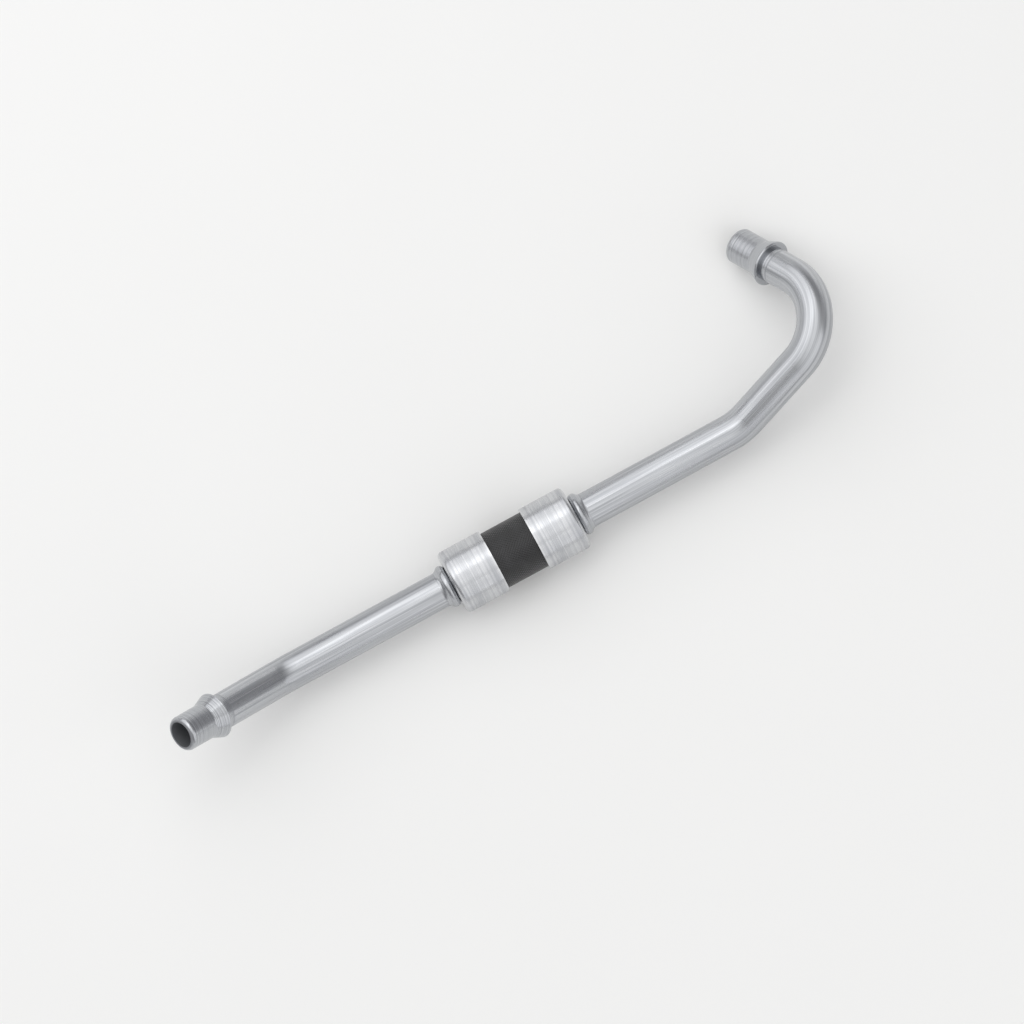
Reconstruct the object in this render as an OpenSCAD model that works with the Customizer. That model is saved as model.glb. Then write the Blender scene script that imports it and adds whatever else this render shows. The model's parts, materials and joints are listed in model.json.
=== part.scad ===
// Bent tube assembly: two bent metal tubes joined by a short crimped hose, with a quick-connector spigot
// at each free end. The line lies on a table as it comes to rest, on its two ferrules and the nose of its
// outlet spigot, with the straight run along X. The origin is the middle of the inlet spigot's end.
// Sizes are in millimetres, and angles in degrees.

/* [Tube] */
// Outside diameter of the tube
tube_od = 12; // [10:0.5:16]
// Wall of the tube
tube_wall = 1.5; // [0.8:0.1:2]
// Radius of every bend, at the middle of the tube
bend_r = 18; // [15:0.5:30]

/* [Inlet tube] */
// Straight from the ferrule to the bend
inlet_run = 57.2; // [30:0.1:120]
// Angle of the bend
inlet_bend = 33.8; // [15:0.1:60]
// Turn of the bend's plane about the run, from the outlet's first bend
inlet_twist = 132.8; // [100:0.1:170]
// Straight from the bend to the end of the nose
inlet_leg = 41.4; // [25:0.1:80]

/* [Outlet tube] */
// Straight from the ferrule to the first bend
outlet_run = 56.5; // [30:0.1:120]
// Angle of the first bend
outlet_bend = 26.6; // [15:0.1:45]
// Straight between the two bends
outlet_link = 25.5; // [10:0.1:60]
// Turn of the second bend's plane about the tube, from the first
outlet_twist = -74.4; // [-100:0.1:-50]
// Angle of the second bend
outlet_hook = 109.4; // [80:0.1:130]
// Straight from the second bend to the end of the nose
outlet_leg = 25.3; // [23:0.1:60]

/* [Spigot] */
// Plain length of the spigot, from the end of its nose to the ramp
spigot_len = 10.6; // [6:0.1:12]
// Rounding of the nose
nose_r = 1.3; // [0.2:0.1:1.4]
// Slope of the ramp to the spigot's axis
ramp_angle = 21; // [16:1:30]
// Fillet between the plain length and the ramp
ramp_fillet = 1.5; // [0.5:0.1:3]
// Height of the ramp's crest over the tube
crest_height = 1.75; // [1.2:0.05:2.2]
// Rounding of that crest, over to the square back of the ramp
crest_r = 0.5; // [0.3:0.1:0.8]

/* [Hose joint] */
// Length of hose that shows between the ferrules
hose_gap = 14.8; // [8:0.1:40]
// Wall of the hose, as crimped
hose_wall = 3.9; // [2.5:0.1:6]
// Length of a ferrule
ferrule_len = 15.7; // [14:0.1:24]
// Wall of the drawn ferrule cup
ferrule_wall = 1; // [0.6:0.1:1.4]
// Outer rounding between the ferrule's side and its end wall
ferrule_round = 1.6; // [1.5:0.1:3]
// Height over the tube of the bead that stops the ferrule
bead_height = 1.35; // [0.8:0.05:2]
// Rounding of that bead
bead_r = 1.6; // [1.2:0.1:2]
// Fillet where that bead runs out into the tube
bead_fillet = 2; // [1:0.1:3]
// Length of each nipple past the open end of its ferrule
nipple_past = 1; // [0:0.1:3]
// Number of barbs on each nipple
barb_count = 3; // [2:1:3]
// Distance from barb to barb
barb_pitch = 3.6; // [3.2:0.1:4]
// Height of a barb
barb_height = 0.5; // [0.2:0.05:0.7]
// Length of a barb's entry ramp
barb_ramp = 2.2; // [1.5:0.1:2.4]
// Room between the hose and what it touches, and between a ferrule and its tube
fit = 0.05; // [0.02:0.01:0.1]

/* [Hidden] */
$fn = 96;
tube_r = tube_od / 2;
bore_r = tube_r - tube_wall;
hose_r = tube_r + fit + hose_wall;
cup_r = hose_r + fit;
ferrule_r = cup_r + ferrule_wall;

// Stations along the run, from the middle of the hose
ferrule_mouth = hose_gap / 2;
ferrule_end = ferrule_mouth + ferrule_len;
hose_end = ferrule_end - ferrule_round;
bead_at = ferrule_end + bead_r;
nipple_tip = ferrule_mouth - nipple_past;
inlet_turn = ferrule_end + inlet_run;
outlet_turn = ferrule_end + outlet_run;

// Distance from the end of the nose to the spigot's crest, where the ramp is tangent to the rounding
crest_at = spigot_len + (crest_height + crest_r / cos(ramp_angle) - crest_r) / tan(ramp_angle);
ramp_back = crest_at + crest_r;
// Middle of the ferrule bead's fillet, in radius and station
bead_fillet_mid = [
    tube_r + bead_fillet,
    bead_at + sqrt(pow(bead_r + bead_fillet, 2) - pow(bead_r + bead_fillet - bead_height, 2)),
];
// Lengths of tube are joined at this much under full size
join_scale = 1000;
// How far a straight length of tube laps the bend beside it
lap = 0.0001;
// How far the ramp's fillet is cut into the faces it joins, and its crest stands over it, so that they cross
bite = 0.001;
// How far a cutter stands past what it cuts
past = 1;

// Moves of a frame whose X runs along the tube and whose Y points to the inside of the next bend
function ahead(d) = [[1, 0, 0, d], [0, 1, 0, 0], [0, 0, 1, 0], [0, 0, 0, 1]];
function rolled(a) = [[1, 0, 0, 0], [0, cos(a), -sin(a), 0], [0, sin(a), cos(a), 0], [0, 0, 0, 1]];
function swung(a) = [[cos(a), -sin(a), 0, 0], [sin(a), cos(a), 0, 0], [0, 0, 1, 0], [0, 0, 0, 1]];
function aside(d) = [[1, 0, 0, 0], [0, 1, 0, d], [0, 0, 1, 0], [0, 0, 0, 1]];
function bent(a) = aside(bend_r) * swung(a) * aside(-bend_r);

// Frames at the two noses, from the middle of the hose, with the outlet's first bend level
inlet_nose = swung(180) * rolled(inlet_twist) * ahead(inlet_turn) * bent(inlet_bend) * ahead(inlet_leg);
outlet_nose = ahead(outlet_turn) * bent(outlet_bend) * ahead(outlet_link) * rolled(outlet_twist)
    * bent(outlet_hook) * ahead(outlet_leg);

// Height of the outlet nose over the table, with the line on its ferrules and rolled by a about its run
function nose_height(a) =
    let (nose = rolled(a) * outlet_nose * ahead(-nose_r), rise = nose[2][0])
    ferrule_r + nose[2][3] - nose_r - (tube_r - nose_r) * sqrt(1 - rise * rise);
// Roll at which the nose comes down on the table, found by halving a range that holds it
function settled(low, high, steps) =
    let (mid = (low + high) / 2)
    steps == 0 ? mid : nose_height(mid) > 0 ? settled(low, mid, steps - 1) : settled(mid, high, steps - 1);
lay = settled(0, 90, 40);
origin = [for (row = [0:2]) (rolled(lay) * inlet_nose)[row][3]];

// Turns the line from its own frame, at the middle of the hose, to how it rests
module at_rest() {
    translate(-origin)
        rotate([lay, 0, 0])
            children();
}

// Turns a piece to the inlet's side of the hose
module inlet_side() {
    rotate(180)
        rotate([inlet_twist, 0, 0])
            children();
}

// Carries what follows a bend to the bend's far end
module past_bend(angle) {
    translate([0, bend_r])
        rotate(angle)
            translate([0, -bend_r])
                children();
}

// Turns a profile of radius and station about the frame's X, forwards or backwards
module turned(way = 1) {
    rotate([0, way * 90, 0])
        rotate_extrude()
            children();
}

module rect(low, high) {
    translate(low)
        square(high - low);
}

// Bead that stops the ferrule, with the fillet that runs out into the tube behind it
module bead_profile() {
    mid = [tube_r + bead_height - bead_r, bead_at];
    translate(mid)
        circle(bead_r);
    difference() {
        polygon([mid, bead_fillet_mid, [bore_r, bead_fillet_mid.y], [bore_r, bead_at]]);
        translate(bead_fillet_mid)
            circle(bead_fillet);
    }
}

// Hollow inside that bead, left by the wall that was pushed out into it
module bead_hollow() {
    top = bore_r + bead_height;
    difference() {
        polygon([
            [0, bead_at - bead_r], [bore_r, bead_at - bead_r], [top, bead_at],
            [top, bead_fillet_mid.y], [0, bead_fillet_mid.y],
        ]);
        translate(bead_fillet_mid)
            circle(bead_fillet + tube_wall);
    }
}

// Ramp of a spigot, up to its rounded crest and square back
module ramp_profile() {
    crest_mid = [tube_r + crest_height - crest_r, crest_at];
    ramp_top = crest_mid + (crest_r - bite) * [cos(ramp_angle), -sin(ramp_angle)];
    polygon([
        [bore_r, spigot_len], [tube_r, spigot_len], ramp_top,
        crest_mid, [crest_mid.x, ramp_back], [bore_r, ramp_back],
    ]);
    translate(crest_mid)
        circle(crest_r);
}

// Fillet at the foot of that ramp
module ramp_foot() {
    mid = [tube_r + ramp_fillet, spigot_len - ramp_fillet * tan(ramp_angle / 2)];
    reach = ramp_fillet + tube_wall / 2;
    difference() {
        polygon([mid, mid - [reach, 0], mid + reach * [-cos(ramp_angle), sin(ramp_angle)]]);
        translate(mid)
            circle(ramp_fillet + bite);
    }
}

// Hollow inside that ramp, which leaves it the tube's wall
module ramp_hollow() {
    front = spigot_len + tube_wall * tan(ramp_angle / 2);
    back = ramp_back - tube_wall;
    polygon([[0, front], [bore_r, front], [bore_r + (back - front) * tan(ramp_angle), back], [0, back]]);
}

module bore_profile(low, high) {
    rect([0, low - past], [bore_r, high + past]);
}

// Hose nipple with its barbs, from the tip to the far end, grown by a gap
module nipple_profile(far_end, gap = 0) {
    rect([0, nipple_tip - gap], [tube_r + gap, far_end]);
    for (i = [1:barb_count])
        translate([tube_r + gap, nipple_tip + i * barb_pitch])
            polygon([
                [-tube_wall, -barb_ramp], [0, -barb_ramp - gap], [barb_height, -gap],
                [barb_height, gap], [0, barb_height + gap], [-tube_wall, barb_height],
            ]);
}

// Run from the nipple in the hose, past the bead that stops the ferrule, to the first bend
module tube_run(far_end) {
    turned()
        difference() {
            union() {
                nipple_profile(far_end + lap);
                bead_profile();
            }
            bore_profile(nipple_tip, far_end);
            bead_hollow();
        }
}

// Straight end of the tube, formed to a spigot and drawn back from the end of its nose
module tube_leg(length) {
    nose_mid = tube_r - nose_r;
    translate([length, 0])
        turned(-1)
            difference() {
                union() {
                    rect([0, nose_r], [tube_r, length + lap]);
                    rect([0, 0], [nose_mid, length]);
                    translate([nose_mid, nose_r])
                        circle(nose_r);
                    ramp_profile();
                    ramp_foot();
                }
                bore_profile(0, length);
                ramp_hollow();
            }
}

// Ring of the tube's section, swept round a bend
module tube_bend(angle) {
    translate([0, bend_r])
        rotate(-90)
            rotate_extrude(angle = angle)
                translate([bend_r, 0])
                    difference() {
                        circle(tube_r);
                        circle(bore_r);
                    }
}

module tube_link(length) {
    turned()
        rect([bore_r, -lap], [tube_r, length + lap]);
}

// Joins lengths of tube end to end. They are joined small and enlarged after, so that the hair by which
// their ends lap counts as nothing and each end meets the next in one circle
module joined() {
    scale(join_scale)
        for (i = [0:$children - 1])
            scale(1 / join_scale)
                children(i);
}

module to_inlet_bend() {
    translate([inlet_turn, 0])
        children();
}

module to_inlet_leg() {
    to_inlet_bend()
        past_bend(inlet_bend)
            children();
}

module inlet_tube() {
    color("silver")
        at_rest()
            inlet_side()
                joined() {
                    tube_run(inlet_turn);
                    to_inlet_bend()
                        tube_bend(inlet_bend);
                    to_inlet_leg()
                        tube_leg(inlet_leg);
                }
}

module to_outlet_bend() {
    translate([outlet_turn, 0])
        children();
}

module to_outlet_link() {
    to_outlet_bend()
        past_bend(outlet_bend)
            children();
}

module to_outlet_hook() {
    to_outlet_link()
        translate([outlet_link, 0])
            rotate([outlet_twist, 0, 0])
                children();
}

module to_outlet_leg() {
    to_outlet_hook()
        past_bend(outlet_hook)
            children();
}

module outlet_tube() {
    color("silver")
        at_rest()
            joined() {
                tube_run(outlet_turn);
                to_outlet_bend()
                    tube_bend(outlet_bend);
                to_outlet_link()
                    tube_link(outlet_link);
                to_outlet_hook()
                    tube_bend(outlet_hook);
                to_outlet_leg()
                    tube_leg(outlet_leg);
            }
}

// Rubber hose, pressed round the barbs by the crimp
module hose() {
    color("dimgray")
        at_rest()
            turned()
                difference() {
                    rect([tube_r, -hose_end], [hose_r, hose_end]);
                    nipple_profile(hose_end + past, fit);
                    mirror([0, 1])
                        nipple_profile(hose_end + past, fit);
                }
}

// Outline of a round cup, closed at its end
module cup_profile(radius, round_r, mouth, end) {
    rect([0, mouth], [radius, end - round_r]);
    rect([0, mouth], [radius - round_r, end]);
    translate([radius - round_r, end - round_r])
        circle(round_r);
}

// Drawn cup whose end wall has a hole for the tube
module ferrule() {
    turned()
        difference() {
            cup_profile(ferrule_r, ferrule_round, ferrule_mouth, ferrule_end);
            cup_profile(cup_r, ferrule_round - ferrule_wall, ferrule_mouth - past, ferrule_end - ferrule_wall);
            rect([0, ferrule_mouth - past], [tube_r + fit, ferrule_end + past]);
        }
}

module inlet_ferrule() {
    color("gainsboro")
        at_rest()
            inlet_side()
                ferrule();
}

module outlet_ferrule() {
    color("gainsboro")
        at_rest()
            ferrule();
}

inlet_tube();
outlet_tube();
hose();
inlet_ferrule();
outlet_ferrule();
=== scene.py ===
"""Finish of a bent fluid line: drawn tubes, crimped ferrules, a rubber hose, and the table it lies on."""
import json
import math

import bpy
from mathutils import Matrix, Vector


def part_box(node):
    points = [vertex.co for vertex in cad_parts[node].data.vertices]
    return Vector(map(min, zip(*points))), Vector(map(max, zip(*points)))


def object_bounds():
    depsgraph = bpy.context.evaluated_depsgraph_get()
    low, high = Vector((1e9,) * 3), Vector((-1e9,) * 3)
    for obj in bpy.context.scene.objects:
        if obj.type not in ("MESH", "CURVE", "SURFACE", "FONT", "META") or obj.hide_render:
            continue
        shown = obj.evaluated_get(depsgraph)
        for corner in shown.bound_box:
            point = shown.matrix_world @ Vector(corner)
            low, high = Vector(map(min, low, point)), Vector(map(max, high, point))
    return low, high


bl_info = {
    "name": "Bent tube assembly",
    "version": (1, 0, 0),
    "blender": (4, 5, 0),
    "location": "View3D > Sidebar > Fluid line",
    "description": "Gives the bent fluid line its metal and rubber, and sets table, lamps and camera",
    "category": "Object",
}

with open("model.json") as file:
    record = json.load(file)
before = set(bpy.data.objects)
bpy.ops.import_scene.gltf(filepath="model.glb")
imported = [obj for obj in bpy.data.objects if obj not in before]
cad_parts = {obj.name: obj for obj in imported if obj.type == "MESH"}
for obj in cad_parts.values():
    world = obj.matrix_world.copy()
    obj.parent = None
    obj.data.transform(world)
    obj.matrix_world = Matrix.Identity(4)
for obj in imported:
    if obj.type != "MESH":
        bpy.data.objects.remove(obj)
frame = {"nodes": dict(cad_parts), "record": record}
cad_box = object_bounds()

MM = 0.001

# The tube lies along straight lines that meet in corners, which the bends round off. Of the outlet's two
# corners, the first lies on the run past the middle of the hose, the second behind the end of the nose.
BEND_RADIUS = 18 * MM
OUTLET_FIRST_CORNER = 83.855 * MM
OUTLET_LAST_CORNER = 50.722 * MM
BORE_RADIUS = 4.5 * MM
WALL = 1.5 * MM
# Stretch at each nose that the end-forming die grips, rubs bright and rings
FORMED_LENGTH = 18.5 * MM
# From the middle of the hose to where the bead that stops the ferrule runs out. It is rolled and ringed too.
BEAD_END = 27.5 * MM

# Middle of the noise textures, and the range that they seldom leave
NOISE_LOW = 0.3
NOISE_MIDDLE = 0.5
NOISE_HIGH = 0.7

# Tube: length of a handled patch, and over which the draw lines give way to rings
HANDLED_PATCH = 14 * MM
RING_FADE = 0.5 * MM
# Noise at the bottom and at the top of a draw line, and how far the mark of the die's edge lies below
LINE_BOTTOM = 0.38
LINE_TOP = 0.66
DIE_MARK_DROP = 0.8
# Roughness of clean and of handled tube, and what a bend, a formed end and the top of a line change in it
CLEAN_TUBE = 0.27
HANDLED_TUBE = 0.36
BEND_CHANGE = 0.02
FORMED_CHANGE = -0.07
LINE_TOP_CHANGE = -0.06
# The bore keeps a dull skin from the plug that it was drawn over, and its colour is darkened there as
# painted shade. On the wall's end face both start and are full at these shares of the wall.
SKIN_AND_SHADE_STARTS = 0.7
SKIN_AND_SHADE_FULL = 0.3
BORE_ROUGHNESS = 0.65
# Share of the draw lines' colour that the bore shows, darker as painted shade
BORE_PAINTED_SHADE = 0.85
# Height of the stretch grain beside the draw lines, and the depth of both
GRAIN_SHARE = 0.4
DRAW_DEPTH = 0.04 * MM
DRAW_STRENGTH = 0.25

# Ferrule: length of a dulled patch, its share beside the rings, and the marks that count as dull and bright
DULL_PATCH = 6 * MM
DULL_PATCH_SHARE = 0.5
DULL_MARK = 0.55
BRIGHT_MARK = 0.95
# Distances from an end at which the rubbed rim starts and is full
RIM_STARTS = 1.4 * MM
RIM_FULL = 0.3 * MM
DULL_ROUGHNESS = 0.33
BRIGHT_ROUGHNESS = 0.2
LATHE_DEPTH = 0.03 * MM
LATHE_STRENGTH = 0.3

# Hose: length of a bloomed patch, width of a pore, and their shares beside the weave
BLOOM_PATCH = 5 * MM
PORE_WIDTH = 0.6 * MM
THREAD_SHARE = 0.12
PORE_SHARE = 0.5
# Marks at which the bloom starts and is full, and the roughness of clean and of bloomed rubber
BLOOM_STARTS = 0.42
BLOOM_FULL = 0.8
CLEAN_RUBBER = 0.3
BLOOMED_RUBBER = 0.5
RUBBER_IOR = 1.52
WEAVE_DEPTH = 0.12 * MM
WEAVE_STRENGTH = 0.65

# Table: half of its side in metres, the cloud in its white, and its matt surface
TABLE_REACH = 8.0
CLOUD_LENGTH = 90 * MM
CLOUD_TONE = 0.985
TABLE_ROUGHNESS = 0.8
TABLE_SPECULAR = 0.2

# Light of the room by height, from the horizon at 0 to overhead at 1
ROOM_TONES = (
    (0.12, (0.48, 0.48, 0.48)),
    (0.3, (0.22, 0.22, 0.23)),
    (0.7, (0.26, 0.26, 0.26)),
    (0.95, (0.82, 0.82, 0.82)),
)
# Each lamp's way from the middle of the line, and its sides, in metres
KEY_OFFSET = Vector((-0.25, 0.62, 0.75))
KEY_SIDES = (1.8, 1.1)
FILL_OFFSET = Vector((0.3, -0.8, 0.55))
FILL_SIDES = (1.3, 0.8)

# The isometric picture, in points. Of the view's axes, one runs into each nose, and the third stands
# square to both.
PICTURE_SIDE = 1024
LINE_OF_SIGHT = (1, -1, 1)
PICTURE_UP = (-1, 1, 2)


def linear(code):
    """Linear RGB of an sRGB hex colour."""
    shares = [int(code[i:i + 2], 16) / 255 for i in (0, 2, 4)]
    return [s / 12.92 if s <= 0.04045 else ((s + 0.055) / 1.055) ** 2.4 for s in shares]


def rgba(colour):
    """A colour for a socket, which also takes an alpha."""
    return (*colour, 1.0)


def mount(name):
    """Place and direction of one of the record's mounts."""
    for row in frame["record"]["mounts"]:
        if row["name"] == name:
            return Vector(row["pos_m"]), Vector(row["axis"]).normalized()
    raise ValueError(f"the record has no mount named {name}")


def add(tree, kind, links=None, **settings):
    """Add a node: settings go to the node, links to its sockets, from another socket or as a fixed value.

    Sockets go by name or number. Those of a Mix node are 2 and 3 for numbers, 4 and 5 for vectors, and
    6 and 7 for colours.
    """
    node = tree.nodes.new(kind)
    for name, value in settings.items():
        setattr(node, name, value)
    for name, value in (links or {}).items():
        if isinstance(value, bpy.types.NodeSocket):
            tree.links.new(value, node.inputs[name])
        else:
            node.inputs[name].default_value = value
    return node


def new_material(name):
    """An empty node material."""
    material = bpy.data.materials.new(name)
    material.use_nodes = True
    material.node_tree.nodes.clear()
    return material


def dress(node_name, material):
    """Give a piece one material all over."""
    mesh = frame["nodes"][node_name].data
    mesh.materials.clear()
    mesh.materials.append(material)


def hose_middle():
    """Middle of the hose, which lies on the run of both tubes."""
    low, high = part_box("hose")
    return (low + high) / 2


def inlet_corners():
    """Middle of the hose, the corner where the run meets the inlet's leg, and the end of the nose."""
    nose, out = mount("inlet_bore")
    middle = hose_middle()
    run = Vector((-1, 0, 0))
    along = out.dot(run)
    gap = nose - middle
    reach = (gap.dot(run) - along * gap.dot(out)) / (1 - along * along)
    return [middle, middle + run * reach, nose]


def outlet_corners():
    """Middle of the hose, the corners of both bends, and the end of the nose."""
    nose, out = mount("outlet_bore")
    middle = hose_middle()
    run = Vector((1, 0, 0))
    return [middle, middle + run * OUTLET_FIRST_CORNER, nose - out * OUTLET_LAST_CORNER, nose]


def stretches(corners, radius):
    """Straights and bends of a tube in order, each with its frame, its start along the tube and its twist.

    A straight's frame stands back from its start by the length of tube before it, so that X gives the
    place along the tube. A bend's stands on the middle of the bend, with X along the tube and Y out to the
    tube where the bend starts. The twist keeps the draw lines running from one to the next.
    """
    rows = []
    start = corners[0]
    done = 0.0
    ways = [(b - a).normalized() for a, b in zip(corners, corners[1:])]
    side = ways[0].orthogonal().normalized()
    for i, way in enumerate(ways):
        last = i == len(ways) - 1
        turn = 0.0 if last else way.angle(ways[i + 1])
        end = corners[i + 1] - way * radius * math.tan(turn / 2)
        rows.append({
            "bend": False,
            "frame": Matrix((way, side, way.cross(side))).transposed(),
            "at": start - way * done,
            "start": done,
            "twist": 0.0,
        })
        done += (end - start).length
        if last:
            break
        square = way.cross(ways[i + 1]).normalized()
        outward = way.cross(square)
        normal = way.cross(outward)
        twist = math.atan2(side.dot(normal), side.dot(outward))
        middle = end - outward * radius
        rows.append({
            "bend": True,
            "frame": Matrix((way, outward, normal)).transposed(),
            "at": middle,
            "start": done,
            "twist": twist,
        })
        done += turn * radius
        outward_end = outward * math.cos(turn) + way * math.sin(turn)
        start = middle + outward_end * radius
        side = outward_end * math.cos(twist) + normal * math.sin(twist)
    return rows, done


def unrolled(tree, local, row, radius):
    """Sockets for a bend: the place as if it were rolled out straight, and the way out from the axis."""
    x, y, z = add(tree, "ShaderNodeSeparateXYZ", {0: local}).outputs
    angle = add(tree, "ShaderNodeMath", {0: x, 1: y}, operation="ARCTAN2").outputs[0]
    along = add(tree, "ShaderNodeMath", {0: angle, 1: radius, 2: row["start"]},
                operation="MULTIPLY_ADD").outputs[0]
    flat = add(tree, "ShaderNodeCombineXYZ", {0: x, 1: y}).outputs[0]
    reach = add(tree, "ShaderNodeVectorMath", {0: flat}, operation="LENGTH").outputs["Value"]
    proud = add(tree, "ShaderNodeMath", {0: reach, 1: radius}, operation="SUBTRACT").outputs[0]
    rolled = add(tree, "ShaderNodeCombineXYZ", {0: along, 1: proud, 2: z}).outputs[0]
    place = add(tree, "ShaderNodeVectorRotate", {"Vector": rolled, "Angle": -row["twist"]},
                rotation_type="X_AXIS").outputs[0]
    share = add(tree, "ShaderNodeMath", {0: proud, 1: reach}, operation="DIVIDE").outputs[0]
    shares = add(tree, "ShaderNodeCombineXYZ", {0: share, 1: share, 2: 1.0}).outputs[0]
    outward = add(tree, "ShaderNodeVectorMath", {0: local, 1: shares}, operation="MULTIPLY").outputs[0]
    return place, outward


def place_along(tree, corners, radius):
    """Sockets and length of a tube.

    The sockets give the place along the tube in X and across it in Y and Z, whether it is on a bend, and the
    way straight out from the tube's axis.
    """
    spot = add(tree, "ShaderNodeTexCoord").outputs["Object"]
    rows, length = stretches(corners, radius)
    place = None
    out = None
    reached = None
    bent = None
    for row in rows:
        turn = row["frame"].to_euler()
        local = add(tree, "ShaderNodeMapping", {"Vector": spot, "Location": row["at"], "Rotation": turn},
                    vector_type="TEXTURE").outputs[0]
        x, y, z = add(tree, "ShaderNodeSeparateXYZ", {0: local}).outputs
        if row["bend"]:
            here, outward = unrolled(tree, local, row, radius)
        else:
            here = local
            outward = add(tree, "ShaderNodeCombineXYZ", {1: y, 2: z}).outputs[0]
        turned = add(tree, "ShaderNodeMapping", {"Vector": outward, "Rotation": turn},
                     vector_type="VECTOR").outputs[0]
        if place is None:
            place = here
            out = turned
            continue
        begins = 0.0 if row["bend"] else row["start"]
        past = add(tree, "ShaderNodeMath", {0: x, 1: begins}, operation="GREATER_THAN").outputs[0]
        if reached is not None:
            past = add(tree, "ShaderNodeMath", {0: past, 1: reached}, operation="MULTIPLY").outputs[0]
        reached = past
        place = add(tree, "ShaderNodeMix", {"Factor": past, 4: place, 5: here},
                    data_type="VECTOR").outputs[1]
        out = add(tree, "ShaderNodeMix", {"Factor": past, 4: out, 5: turned},
                  data_type="VECTOR").outputs[1]
        if bent is None:
            bent = past
        else:
            change = "ADD" if row["bend"] else "SUBTRACT"
            bent = add(tree, "ShaderNodeMath", {0: bent, 1: past}, operation=change).outputs[0]
    in_room = add(tree, "ShaderNodeVectorTransform", {0: out}, vector_type="NORMAL", convert_from="OBJECT",
                  convert_to="WORLD").outputs[0]
    return place, bent, in_room, length


class TubeFinish(bpy.types.PropertyGroup):
    """Sizes and colours of the drawn tube"""

    metal: bpy.props.FloatVectorProperty(
        name="Metal", description="Colour of the drawn aluminium",
        subtype="COLOR", size=3, min=0, max=1, default=linear("C8CACD"))
    groove: bpy.props.FloatVectorProperty(
        name="Draw lines", description="Colour in the deeper draw lines",
        subtype="COLOR", size=3, min=0, max=1, default=linear("A4A6AA"))
    line_width: bpy.props.FloatProperty(
        name="Line width", description="Width of a draw line",
        unit="LENGTH", default=0.7 * MM, min=0.1 * MM)
    line_length: bpy.props.FloatProperty(
        name="Line length", description="Length that a draw line runs along the tube",
        unit="LENGTH", default=60 * MM, min=1 * MM)
    peel_width: bpy.props.FloatProperty(
        name="Stretch grain", description="Grain that stretching raises on a bend",
        unit="LENGTH", default=0.9 * MM, min=0.1 * MM)
    ring_width: bpy.props.FloatProperty(
        name="Tool rings", description="Spacing of the rings rubbed on a formed end",
        unit="LENGTH", default=0.5 * MM, min=0.1 * MM)
    die_mark: bpy.props.FloatProperty(
        name="Die mark", description="Width of the ring that the edge of the forming die leaves",
        unit="LENGTH", default=0.5 * MM, min=0.05 * MM)


class FerruleFinish(bpy.types.PropertyGroup):
    """Sizes and colours of the ferrules"""

    metal: bpy.props.FloatVectorProperty(
        name="Metal", description="Colour of the pressed aluminium cup",
        subtype="COLOR", size=3, min=0, max=1, default=linear("D2D3D5"))
    dull: bpy.props.FloatVectorProperty(
        name="Dull metal", description="Colour where the cup has dulled",
        subtype="COLOR", size=3, min=0, max=1, default=linear("B0B2B6"))
    ring_width: bpy.props.FloatProperty(
        name="Rings", description="Spacing of the rings left by the trimming lathe",
        unit="LENGTH", default=0.6 * MM, min=0.1 * MM)


class HoseFinish(bpy.types.PropertyGroup):
    """Sizes and colours of the hose"""

    rubber: bpy.props.FloatVectorProperty(
        name="Rubber", description="Colour of the clean rubber",
        subtype="COLOR", size=3, min=0, max=1, default=linear("171718"))
    bloom: bpy.props.FloatVectorProperty(
        name="Bloom", description="Colour where the rubber has bloomed grey",
        subtype="COLOR", size=3, min=0, max=1, default=linear("303032"))
    thread: bpy.props.FloatProperty(
        name="Thread", description="Spacing of the cloth that wrapped the hose in the oven",
        unit="LENGTH", default=1.1 * MM, min=0.1 * MM)


class StageSetup(bpy.types.PropertyGroup):
    """Table, lamps and camera"""

    table: bpy.props.FloatVectorProperty(
        name="Table", description="Colour of the table",
        subtype="COLOR", size=3, min=0, max=1, default=linear("F4F4F3"))
    lens: bpy.props.FloatProperty(
        name="Lens", description="Focal length, so long that as good as no perspective is left",
        unit="CAMERA", default=1000, min=50)
    scale: bpy.props.FloatProperty(
        name="Picture scale", description="Picture points to a millimetre of the hose",
        default=3.061, min=0.1)
    hose_point: bpy.props.FloatVectorProperty(
        name="Hose in the picture", description="Picture point, right and down, of the hose's middle",
        size=2, default=(513.6, 549.6))
    key_power: bpy.props.FloatProperty(
        name="Key lamp", description="Power of the large lamp on the far side",
        unit="POWER", default=5.8, min=0)
    fill_power: bpy.props.FloatProperty(
        name="Fill lamp", description="Power of the lamp on the near side",
        unit="POWER", default=2.2, min=0)
    sky: bpy.props.FloatProperty(
        name="Room light", description="Strength of the light from the room",
        default=1.5, min=0)


class FLUIDLINE_OT_tubes(bpy.types.Operator):
    """Give both tubes their drawn aluminium"""

    bl_idname = "fluidline.tubes"
    bl_label = "Finish the tubes"

    def execute(self, context):
        look = context.scene.tube_finish
        routes = {"inlet_tube": inlet_corners(), "outlet_tube": outlet_corners()}
        for node_name, corners in routes.items():
            dress(node_name, drawn_aluminium(f"Drawn aluminium, {node_name}", corners, look))
        return {"FINISHED"}


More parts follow.
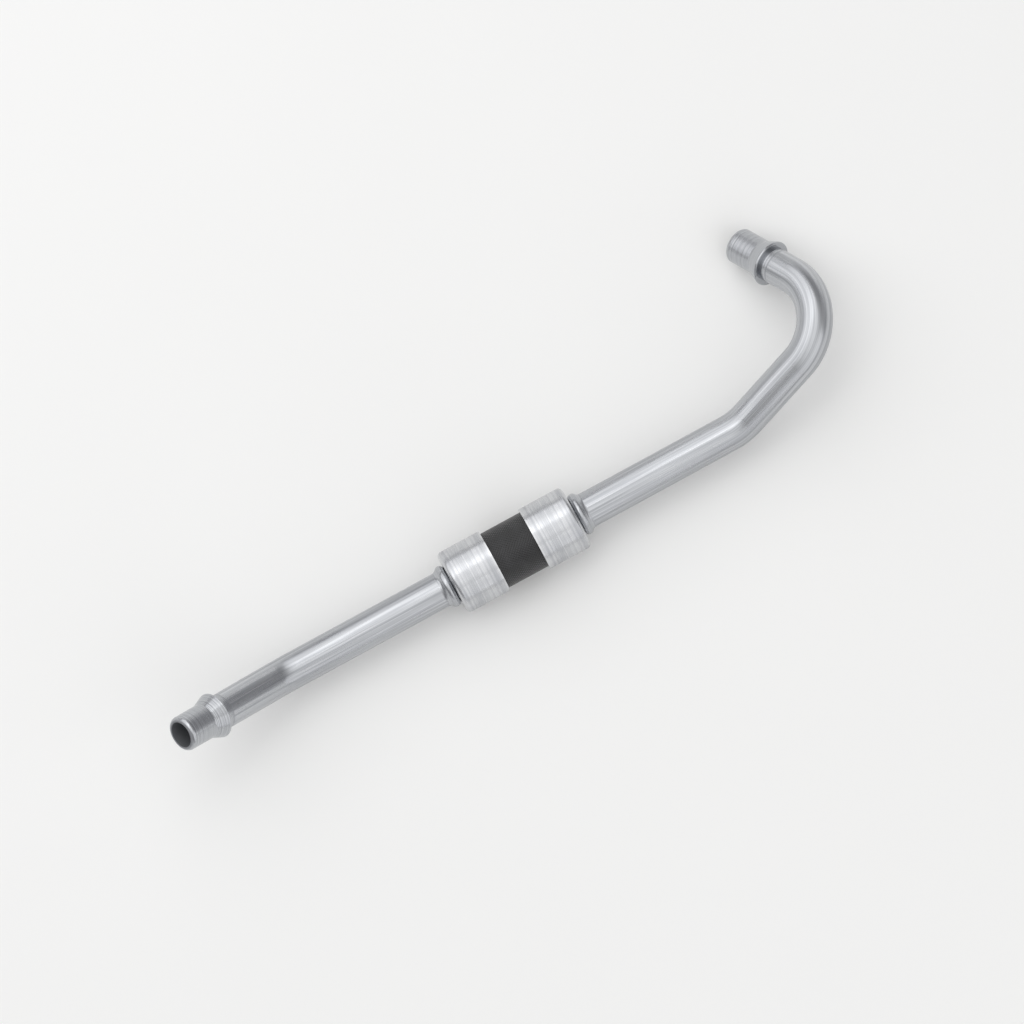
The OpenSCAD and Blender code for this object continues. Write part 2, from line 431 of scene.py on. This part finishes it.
def drawn_aluminium(name, corners, look):
    """Aluminium tube as drawn: a soft grey sheen, with faint lines along it from the die.

    Bends show a fine grain where the metal stretched. The formed nose and the rolled bead are rubbed
    brighter, in rings.
    """
    material = new_material(name)
    tree = material.node_tree
    place, bent, out, length = place_along(tree, corners, BEND_RADIUS)
    along, y, z = add(tree, "ShaderNodeSeparateXYZ", {0: place}).outputs
    across = add(tree, "ShaderNodeCombineXYZ", {1: y, 2: z}).outputs[0]
    off_axis = add(tree, "ShaderNodeVectorMath", {0: across}, operation="LENGTH").outputs["Value"]

    # Lines from the die: thin across the tube, long along it. Real ones are a tenth as wide, too fine to
    # show.
    squeezed = add(tree, "ShaderNodeMapping", {
        "Vector": place, "Scale": (1 / look.line_length, 1 / look.line_width, 1 / look.line_width),
    }).outputs[0]
    lines = add(tree, "ShaderNodeTexNoise", {
        "Vector": squeezed, "Scale": 1.0, "Detail": 4.0, "Roughness": 0.6,
    }).outputs["Fac"]
    # Handling and storage leave broad, faint patches
    patches = add(tree, "ShaderNodeTexNoise", {
        "Vector": place, "Scale": 1 / HANDLED_PATCH, "Detail": 3.0,
    }).outputs["Fac"]
    # Grain of the stretched metal on the bends. A real one is a fifth as wide, too fine to show.
    grain = add(tree, "ShaderNodeTexNoise", {
        "Vector": place, "Scale": 1 / look.peel_width, "Detail": 2.0,
    }).outputs["Fac"]
    # Rings follow the place along the tube alone. Real ones are a fifth as wide, too fine to show.
    station = add(tree, "ShaderNodeCombineXYZ", {0: along}).outputs[0]
    rings = add(tree, "ShaderNodeTexNoise", {
        "Vector": station, "Scale": 1 / look.ring_width, "Detail": 3.0,
    }).outputs["Fac"]
    die_edge = length - FORMED_LENGTH
    formed_nose = add(tree, "ShaderNodeMapRange", {
        "Value": along, "From Min": die_edge, "From Max": die_edge + RING_FADE,
    }).outputs[0]
    formed_bead = add(tree, "ShaderNodeMapRange", {
        "Value": along, "From Min": BEAD_END, "From Max": BEAD_END - RING_FADE,
    }).outputs[0]
    formed = add(tree, "ShaderNodeMath", {0: formed_nose, 1: formed_bead}, operation="MAXIMUM").outputs[0]
    die_mark = add(tree, "ShaderNodeMath", {0: along, 1: die_edge, 2: look.die_mark / 2},
                   operation="COMPARE").outputs[0]
    # Where the bore's dull skin and its painted shade lie
    in_bore = add(tree, "ShaderNodeMapRange", {
        "Value": off_axis,
        "From Min": BORE_RADIUS + SKIN_AND_SHADE_STARTS * WALL, "From Max": BORE_RADIUS + SKIN_AND_SHADE_FULL * WALL,
    }).outputs[0]

    fine_marks = add(tree, "ShaderNodeMix", {"Factor": formed, 2: lines, 3: rings},
                     data_type="FLOAT").outputs[0]
    marks = add(tree, "ShaderNodeMath", {0: die_mark, 1: -DIE_MARK_DROP, 2: fine_marks},
                operation="MULTIPLY_ADD").outputs[0]
    height = add(tree, "ShaderNodeMapRange", {
        "Value": marks, "From Min": LINE_BOTTOM, "From Max": LINE_TOP,
    }).outputs[0]
    colour = add(tree, "ShaderNodeMix", {
        "Factor": height, 6: rgba(look.groove), 7: rgba(look.metal),
    }, data_type="RGBA").outputs[2]
    # Painted shade: the bore gets a darker colour than the outside of the tube
    bore_shaded_colour = add(tree, "ShaderNodeMix", {
        "Factor": in_bore, 6: colour, 7: rgba([c * BORE_PAINTED_SHADE for c in look.groove]),
    }, data_type="RGBA").outputs[2]

    rough = add(tree, "ShaderNodeMapRange", {
        "Value": patches, "From Min": NOISE_LOW, "From Max": NOISE_HIGH,
        "To Min": CLEAN_TUBE, "To Max": HANDLED_TUBE,
    }).outputs[0]
    for where, change in ((bent, BEND_CHANGE), (formed, FORMED_CHANGE), (height, LINE_TOP_CHANGE)):
        rough = add(tree, "ShaderNodeMath", {0: where, 1: change, 2: rough},
                    operation="MULTIPLY_ADD").outputs[0]
    rough = add(tree, "ShaderNodeMix", {
        "Factor": in_bore, 2: rough, 3: BORE_ROUGHNESS,
    }, data_type="FLOAT").outputs[0]

    swell = add(tree, "ShaderNodeMath", {0: grain, 1: NOISE_MIDDLE}, operation="SUBTRACT").outputs[0]
    on_bend = add(tree, "ShaderNodeMath", {0: swell, 1: bent}, operation="MULTIPLY").outputs[0]
    relief = add(tree, "ShaderNodeMath", {0: on_bend, 1: GRAIN_SHARE, 2: marks},
                 operation="MULTIPLY_ADD").outputs[0]
    # The plain tube takes its normal from its axis, so that the light runs on smoothly from straight to bend
    past_bead = add(tree, "ShaderNodeMath", {0: along, 1: BEAD_END}, operation="GREATER_THAN").outputs[0]
    before_die = add(tree, "ShaderNodeMath", {0: along, 1: die_edge}, operation="LESS_THAN").outputs[0]
    outside = add(tree, "ShaderNodeMath", {0: off_axis, 1: BORE_RADIUS + WALL / 2},
                  operation="GREATER_THAN").outputs[0]
    between = add(tree, "ShaderNodeMath", {0: past_bead, 1: before_die}, operation="MULTIPLY").outputs[0]
    plain = add(tree, "ShaderNodeMath", {0: between, 1: outside}, operation="MULTIPLY").outputs[0]
    as_built = add(tree, "ShaderNodeNewGeometry").outputs["Normal"]
    normal = add(tree, "ShaderNodeMix", {"Factor": plain, 4: as_built, 5: out},
                 data_type="VECTOR").outputs[1]
    bump = add(tree, "ShaderNodeBump", {
        "Height": relief, "Strength": DRAW_STRENGTH, "Distance": DRAW_DEPTH, "Normal": normal,
    }).outputs[0]
    metal = add(tree, "ShaderNodeBsdfPrincipled", {
        "Base Color": bore_shaded_colour, "Metallic": 1.0, "Roughness": rough, "Normal": bump,
    }).outputs[0]
    add(tree, "ShaderNodeOutputMaterial", {"Surface": metal})
    return material


class FLUIDLINE_OT_ferrules(bpy.types.Operator):
    """Give both ferrules their pressed aluminium"""

    bl_idname = "fluidline.ferrules"
    bl_label = "Finish the ferrules"

    def execute(self, context):
        look = context.scene.ferrule_finish
        for node_name in ("inlet_ferrule", "outlet_ferrule"):
            dress(node_name, pressed_aluminium(f"Pressed aluminium, {node_name}", node_name, look))
        return {"FINISHED"}


def pressed_aluminium(name, node_name, look):
    """Aluminium cup, pressed and trimmed on a lathe: brighter than the tube, with faint rings round it.

    The rim at the mouth and the rounded shoulder are rubbed bright, and the side has dulled in patches.
    """
    material = new_material(name)
    tree = material.node_tree
    low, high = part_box(node_name)
    half = (high.x - low.x) / 2
    spot = add(tree, "ShaderNodeTexCoord").outputs["Object"]
    local = add(tree, "ShaderNodeVectorMath", {0: spot, 1: (low + high) / 2},
                operation="SUBTRACT").outputs[0]
    along, y, z = add(tree, "ShaderNodeSeparateXYZ", {0: local}).outputs
    across = add(tree, "ShaderNodeCombineXYZ", {1: y, 2: z}).outputs[0]
    off_axis = add(tree, "ShaderNodeVectorMath", {0: across}, operation="LENGTH").outputs["Value"]

    # Rings: the same all round, on the side by the place along it and on the end wall by the radius. Real
    # ones are a fifth as wide, too fine to show.
    ring_place = add(tree, "ShaderNodeCombineXYZ", {0: along, 1: off_axis}).outputs[0]
    rings = add(tree, "ShaderNodeTexNoise", {
        "Vector": ring_place, "Scale": 1 / look.ring_width, "Detail": 4.0, "Roughness": 0.65,
    }).outputs["Fac"]
    patches = add(tree, "ShaderNodeTexNoise", {
        "Vector": local, "Scale": 1 / DULL_PATCH, "Detail": 4.0,
    }).outputs["Fac"]
    marks = add(tree, "ShaderNodeMath", {0: patches, 1: DULL_PATCH_SHARE, 2: rings},
                operation="MULTIPLY_ADD").outputs[0]
    shade = add(tree, "ShaderNodeMapRange", {
        "Value": marks, "From Min": DULL_MARK, "From Max": BRIGHT_MARK,
    }).outputs[0]
    from_middle = add(tree, "ShaderNodeMath", {0: along}, operation="ABSOLUTE").outputs[0]
    rim = add(tree, "ShaderNodeMapRange", {
        "Value": from_middle, "From Min": half - RIM_STARTS, "From Max": half - RIM_FULL,
    }).outputs[0]
    bright = add(tree, "ShaderNodeMath", {0: rim, 1: shade}, operation="MAXIMUM").outputs[0]
    colour = add(tree, "ShaderNodeMix", {
        "Factor": bright, 6: rgba(look.dull), 7: rgba(look.metal),
    }, data_type="RGBA").outputs[2]
    rough = add(tree, "ShaderNodeMapRange", {
        "Value": bright, "To Min": DULL_ROUGHNESS, "To Max": BRIGHT_ROUGHNESS,
    }).outputs[0]
    bump = add(tree, "ShaderNodeBump", {
        "Height": rings, "Strength": LATHE_STRENGTH, "Distance": LATHE_DEPTH,
    }).outputs[0]
    metal = add(tree, "ShaderNodeBsdfPrincipled", {
        "Base Color": colour, "Metallic": 1.0, "Roughness": rough, "Normal": bump,
    }).outputs[0]
    add(tree, "ShaderNodeOutputMaterial", {"Surface": metal})
    return material


class FLUIDLINE_OT_hose(bpy.types.Operator):
    """Give the hose its black rubber"""

    bl_idname = "fluidline.hose"
    bl_label = "Finish the hose"

    def execute(self, context):
        dress("hose", cured_rubber("Black rubber, cured in a cloth wrap", context.scene.hose_finish))
        return {"FINISHED"}


def cured_rubber(name, look):
    """Black rubber hose, cured in a wrap of cloth: satin black, with the weave pressed faintly into it.

    Age lifts a thin grey bloom to the surface in soft patches, mostly on the raised threads.
    """
    material = new_material(name)
    tree = material.node_tree
    low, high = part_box("hose")
    radius = (high.z - low.z) / 2
    spot = add(tree, "ShaderNodeTexCoord").outputs["Object"]
    local = add(tree, "ShaderNodeVectorMath", {0: spot, 1: hose_middle()}, operation="SUBTRACT").outputs[0]
    along, y, z = add(tree, "ShaderNodeSeparateXYZ", {0: local}).outputs
    angle = add(tree, "ShaderNodeMath", {0: y, 1: z}, operation="ARCTAN2").outputs[0]

    # A whole number of threads goes round the hose, so that the weave closes on itself. Real threads are
    # half as wide, too fine to show.
    threads = round(2 * math.pi * radius / look.thread)
    round_phase = add(tree, "ShaderNodeMath", {0: angle, 1: float(threads)}, operation="MULTIPLY").outputs[0]
    along_phase = add(tree, "ShaderNodeMath", {0: along, 1: 2 * math.pi / look.thread},
                      operation="MULTIPLY").outputs[0]
    warp = add(tree, "ShaderNodeMath", {0: round_phase}, operation="SINE").outputs[0]
    weft = add(tree, "ShaderNodeMath", {0: along_phase}, operation="SINE").outputs[0]
    weave = add(tree, "ShaderNodeMath", {0: warp, 1: weft}, operation="MULTIPLY").outputs[0]
    patches = add(tree, "ShaderNodeTexNoise", {
        "Vector": local, "Scale": 1 / BLOOM_PATCH, "Detail": 5.0,
    }).outputs["Fac"]
    pores = add(tree, "ShaderNodeTexNoise", {
        "Vector": local, "Scale": 1 / PORE_WIDTH, "Detail": 2.0,
    }).outputs["Fac"]
    raised = add(tree, "ShaderNodeMath", {0: weave, 1: THREAD_SHARE, 2: patches},
                 operation="MULTIPLY_ADD").outputs[0]
    bloomed = add(tree, "ShaderNodeMapRange", {
        "Value": raised, "From Min": BLOOM_STARTS, "From Max": BLOOM_FULL,
    }).outputs[0]
    colour = add(tree, "ShaderNodeMix", {
        "Factor": bloomed, 6: rgba(look.rubber), 7: rgba(look.bloom),
    }, data_type="RGBA").outputs[2]
    rough = add(tree, "ShaderNodeMapRange", {
        "Value": bloomed, "To Min": CLEAN_RUBBER, "To Max": BLOOMED_RUBBER,
    }).outputs[0]
    relief = add(tree, "ShaderNodeMath", {0: pores, 1: PORE_SHARE, 2: weave},
                 operation="MULTIPLY_ADD").outputs[0]
    bump = add(tree, "ShaderNodeBump", {
        "Height": relief, "Strength": WEAVE_STRENGTH, "Distance": WEAVE_DEPTH,
    }).outputs[0]
    rubber = add(tree, "ShaderNodeBsdfPrincipled", {
        "Base Color": colour, "Roughness": rough, "IOR": RUBBER_IOR, "Normal": bump,
    }).outputs[0]
    add(tree, "ShaderNodeOutputMaterial", {"Surface": rubber})
    return material


class FLUIDLINE_OT_stage(bpy.types.Operator):
    """Lay the table, hang the lamps and set up the camera"""

    bl_idname = "fluidline.stage"
    bl_label = "Set the stage"

    def execute(self, context):
        setup = context.scene.stage_setup
        lay_table(context.scene, setup)
        light_room(context.scene, setup)
        set_camera(context.scene, setup)
        context.scene.view_settings.view_transform = "Standard"
        return {"FINISHED"}


def lay_table(scene, setup):
    """A wide pale table top under the line."""
    top = cad_box[0][2]
    sides = ((-1, -1), (1, -1), (1, 1), (-1, 1))
    mesh = bpy.data.meshes.new("table")
    mesh.from_pydata([(x * TABLE_REACH, y * TABLE_REACH, top) for x, y in sides], [], [(0, 1, 2, 3)])
    table = bpy.data.objects.new("table", mesh)
    scene.collection.objects.link(table)
    mesh.materials.append(white_laminate("Matt white laminate", setup))


def white_laminate(name, setup):
    """White laminate, pressed matt: even to the eye, with only the faintest cloud in its white."""
    material = new_material(name)
    tree = material.node_tree
    spot = add(tree, "ShaderNodeTexCoord").outputs["Object"]
    cloud = add(tree, "ShaderNodeTexNoise", {
        "Vector": spot, "Scale": 1 / CLOUD_LENGTH, "Detail": 2.0,
    }).outputs["Fac"]
    tone = add(tree, "ShaderNodeMix", {
        "Factor": cloud, 6: rgba([c * CLOUD_TONE for c in setup.table]), 7: rgba(setup.table),
    }, data_type="RGBA").outputs[2]
    matt = add(tree, "ShaderNodeBsdfPrincipled", {
        "Base Color": tone, "Roughness": TABLE_ROUGHNESS, "Specular IOR Level": TABLE_SPECULAR,
    }).outputs[0]
    add(tree, "ShaderNodeOutputMaterial", {"Surface": matt})
    return material


def light_room(scene, setup):
    """Two large soft lamps, in a room that is bright overhead, dark half way up and grey low down."""
    world = bpy.data.worlds.new("Room")
    scene.world = world
    world.use_nodes = True
    tree = world.node_tree
    tree.nodes.clear()
    way = add(tree, "ShaderNodeTexCoord").outputs["Generated"]
    height = add(tree, "ShaderNodeSeparateXYZ", {0: way}).outputs[2]
    ramp = add(tree, "ShaderNodeValToRGB", {0: height})
    stops = ramp.color_ramp.elements
    for i, (position, tone) in enumerate(ROOM_TONES):
        stop = stops[i] if i < len(stops) else stops.new(position)
        stop.position = position
        stop.color = rgba(tone)
    glow = add(tree, "ShaderNodeBackground", {"Color": ramp.outputs[0], "Strength": setup.sky}).outputs[0]
    add(tree, "ShaderNodeOutputWorld", {"Surface": glow})

    low, high = cad_box
    middle = (Vector(low) + Vector(high)) / 2
    lamps = (
        ("key_lamp", KEY_OFFSET, KEY_SIDES, setup.key_power),
        ("fill_lamp", FILL_OFFSET, FILL_SIDES, setup.fill_power),
    )
    for name, offset, sides, power in lamps:
        lamp = bpy.data.lights.new(name, "AREA")
        lamp.shape = "RECTANGLE"
        lamp.size, lamp.size_y = sides
        lamp.energy = power
        holder = bpy.data.objects.new(name, lamp)
        scene.collection.objects.link(holder)
        holder.location = middle + offset
        holder.rotation_euler = offset.to_track_quat("Z", "Y").to_euler()


def set_camera(scene, setup):
    """A far camera with a long lens, on the picture's isometric line of sight."""
    first = -mount("outlet_bore")[1]
    second = -mount("inlet_bore")[1]
    axes = (first, second, first.cross(second))
    sight = sum((a * n for a, n in zip(axes, LINE_OF_SIGHT)), Vector()).normalized()
    up = sum((a * n for a, n in zip(axes, PICTURE_UP)), Vector())
    up = (up - sight * up.dot(sight)).normalized()
    right = up.cross(sight)
    point = MM / setup.scale
    centre = (PICTURE_SIDE - 1) / 2
    across, down = setup.hose_point
    target = hose_middle() + right * (centre - across) * point + up * (down - centre) * point
    body = bpy.data.cameras.new("picture_camera")
    body.lens = setup.lens
    distance = PICTURE_SIDE * point * body.lens / body.sensor_width
    camera = bpy.data.objects.new("picture_camera", body)
    scene.collection.objects.link(camera)
    place = Matrix.Translation(target + sight * distance)
    camera.matrix_world = place @ Matrix((right, up, sight)).transposed().to_4x4()
    scene.camera = camera


class FLUIDLINE_PT_panel(bpy.types.Panel):
    """Lists the line's finishes and their operators"""

    bl_idname = "FLUIDLINE_PT_panel"
    bl_label = "Fluid line"
    bl_space_type = "VIEW_3D"
    bl_region_type = "UI"
    bl_category = "Fluid line"

    def draw(self, context):
        for name, group, operator in GROUPS:
            box = self.layout.box()
            for setting in group.__annotations__:
                box.prop(getattr(context.scene, name), setting)
            box.operator(operator.bl_idname)


# Each group of settings: its name on the scene, its class, and the operator that uses it
GROUPS = (
    ("tube_finish", TubeFinish, FLUIDLINE_OT_tubes),
    ("ferrule_finish", FerruleFinish, FLUIDLINE_OT_ferrules),
    ("hose_finish", HoseFinish, FLUIDLINE_OT_hose),
    ("stage_setup", StageSetup, FLUIDLINE_OT_stage),
)
CLASSES = (*(row[1] for row in GROUPS), *(row[2] for row in GROUPS), FLUIDLINE_PT_panel)


def register():
    """Register the classes, and hang the settings on the scene."""
    for cls in CLASSES:
        bpy.utils.register_class(cls)
    for name, group, _ in GROUPS:
        setattr(bpy.types.Scene, name, bpy.props.PointerProperty(type=group))


def unregister():
    """Take the settings off the scene, and unregister the classes."""
    for name, _, _ in GROUPS:
        delattr(bpy.types.Scene, name)
    for cls in reversed(CLASSES):
        bpy.utils.unregister_class(cls)


def main():
    """Finish every piece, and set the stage."""
    register()
    bpy.ops.fluidline.tubes()
    bpy.ops.fluidline.ferrules()
    bpy.ops.fluidline.hose()
    bpy.ops.fluidline.stage()


if __name__ == "__main__":
    main()
